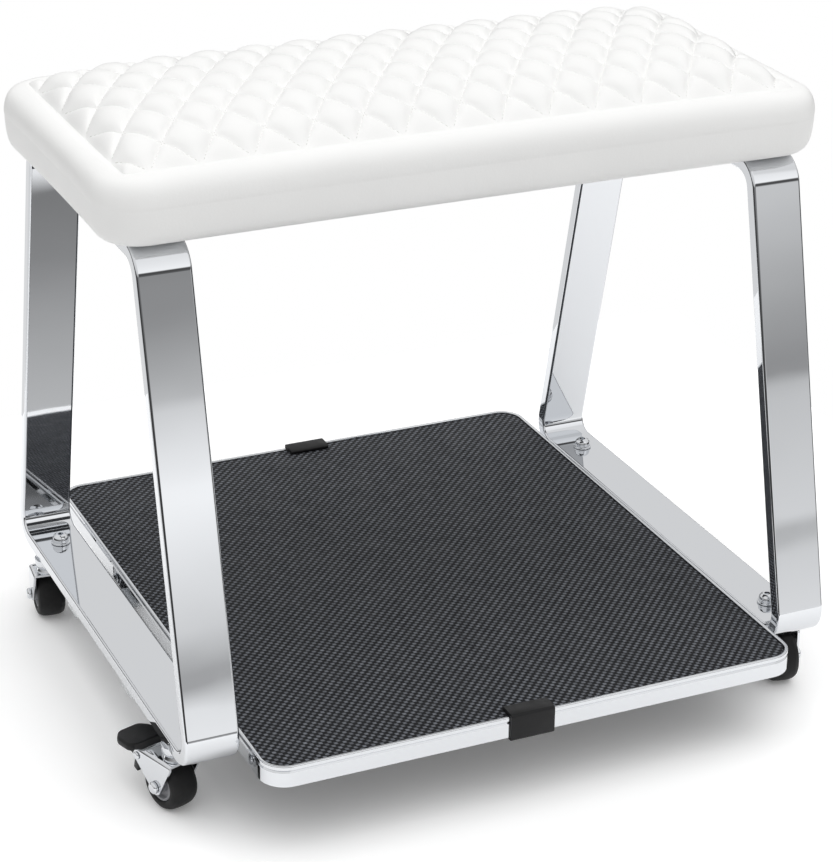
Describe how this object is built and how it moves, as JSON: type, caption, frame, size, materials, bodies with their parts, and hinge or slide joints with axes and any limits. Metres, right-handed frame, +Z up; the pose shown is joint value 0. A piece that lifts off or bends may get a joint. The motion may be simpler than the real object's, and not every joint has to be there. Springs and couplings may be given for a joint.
{
  "type": "pedicure footrest",
  "caption": "Low rolling bench with a quilted white cushion on two bent flat-bar side frames, over a tray with a rubber mat for a foot bath.",
  "frame": {"origin": "on the floor, under the middle of the bounding box", "axes": "+X along the cushion to the right side frame, -Y to the front, +Z up"},
  "size_m": [0.6262, 0.5518, 0.5513],
  "materials": {
    "white_leatherette": "satin, quilted",
    "plywood": "bare",
    "chrome": "mirror",
    "plated_steel": "bright zinc",
    "mat_rubber": "fine raised weave",
    "black_plastic": "fine grain",
    "grey_plastic": "moulded",
    "tyre_rubber": "smooth"
  },
  "bodies": {
    "base": {"seat_cushion": "white_leatherette", "seat_board": "plywood", "tray_panel": "plywood", "left_side_frame": "chrome", "right_side_frame": "chrome", "tray_rim": "chrome", "tray_mat": "mat_rubber", "front_mat_clip": "black_plastic", "back_mat_clip": "black_plastic", "front_cross_strap": "plated_steel", "back_cross_strap": "plated_steel", "front_left_seat_screw": "plated_steel", "front_left_strap_screw": "plated_steel", "front_left_tray_screw": "plated_steel", "front_left_caster_bolt": "chrome", "front_left_caster_mount": "chrome", "front_left_kingpin": "plated_steel", "front_right_seat_screw": "plated_steel", "front_right_strap_screw": "plated_steel", "front_right_tray_screw": "plated_steel", "front_right_caster_bolt": "chrome", "front_right_caster_mount": "chrome", "front_right_kingpin": "plated_steel", "back_left_seat_screw": "plated_steel", "back_left_strap_screw": "plated_steel", "back_left_tray_screw": "plated_steel", "back_left_caster_bolt": "chrome", "back_left_caster_mount": "chrome", "back_left_kingpin": "plated_steel", "back_right_seat_screw": "plated_steel", "back_right_strap_screw": "plated_steel", "back_right_tray_screw": "plated_steel", "back_right_caster_bolt": "chrome", "back_right_caster_mount": "chrome", "back_right_kingpin": "plated_steel"},
    "front_left_swivel": {"front_left_fork": "chrome", "front_left_axle": "plated_steel", "front_left_pedal_pin": "plated_steel"},
    "front_left_wheel": {"front_left_hub": "grey_plastic", "front_left_tyre": "tyre_rubber"},
    "front_left_pedal": {"front_left_brake_pedal": "black_plastic"},
    "front_right_swivel": {"front_right_fork": "chrome", "front_right_axle": "plated_steel"},
    "front_right_wheel": {"front_right_hub": "grey_plastic", "front_right_tyre": "tyre_rubber"},
    "back_left_swivel": {"back_left_fork": "chrome", "back_left_axle": "plated_steel"},
    "back_left_wheel": {"back_left_hub": "grey_plastic", "back_left_tyre": "tyre_rubber"},
    "back_right_swivel": {"back_right_fork": "chrome", "back_right_axle": "plated_steel", "back_right_pedal_pin": "plated_steel"},
    "back_right_wheel": {"back_right_hub": "grey_plastic", "back_right_tyre": "tyre_rubber"},
    "back_right_pedal": {"back_right_brake_pedal": "black_plastic"}
  },
  "joints": [
    {"name": "front_left_swivel_turn", "type": "hinge", "parent": "base", "child": "front_left_swivel", "pos_m": [-0.279, -0.175, 0.05], "axis": [0, 0, 1], "continuous": true},
    {"name": "front_left_wheel_spin", "type": "hinge", "parent": "front_left_swivel", "child": "front_left_wheel", "pos_m": [-0.28147, -0.16739, 0.0225], "axis": [-0.9511, -0.309, 0], "continuous": true},
    {"name": "front_left_pedal_press", "type": "hinge", "parent": "front_left_swivel", "child": "front_left_pedal", "pos_m": [-0.28858, -0.14552, 0.0415], "axis": [-0.9511, -0.309, 0], "range_deg": [0, 15]},
    {"name": "front_right_swivel_turn", "type": "hinge", "parent": "base", "child": "front_right_swivel", "pos_m": [0.279, -0.175, 0.05], "axis": [0, 0, 1], "continuous": true},
    {"name": "front_right_wheel_spin", "type": "hinge", "parent": "front_right_swivel", "child": "front_right_wheel", "pos_m": [0.27761, -0.18288, 0.0225], "axis": [0.9848, -0.1736, 0], "continuous": true},
    {"name": "back_left_swivel_turn", "type": "hinge", "parent": "base", "child": "back_left_swivel", "pos_m": [-0.279, 0.175, 0.05], "axis": [0, 0, 1], "continuous": true},
    {"name": "back_left_wheel_spin", "type": "hinge", "parent": "back_left_swivel", "child": "back_left_wheel", "pos_m": [-0.27816, 0.18296, 0.0225], "axis": [-0.9945, 0.1045, 0], "continuous": true},
    {"name": "back_right_swivel_turn", "type": "hinge", "parent": "base", "child": "back_right_swivel", "pos_m": [0.279, 0.175, 0.05], "axis": [0, 0, 1], "continuous": true},
    {"name": "back_right_wheel_spin", "type": "hinge", "parent": "back_right_swivel", "child": "back_right_wheel", "pos_m": [0.27789, 0.18292, 0.0225], "axis": [-0.9903, -0.1392, 0], "continuous": true},
    {"name": "back_right_pedal_press", "type": "hinge", "parent": "back_right_swivel", "child": "back_right_pedal", "pos_m": [0.27469, 0.2057, 0.0415], "axis": [-0.9903, -0.1392, 0], "range_deg": [0, 15]}
  ]
}
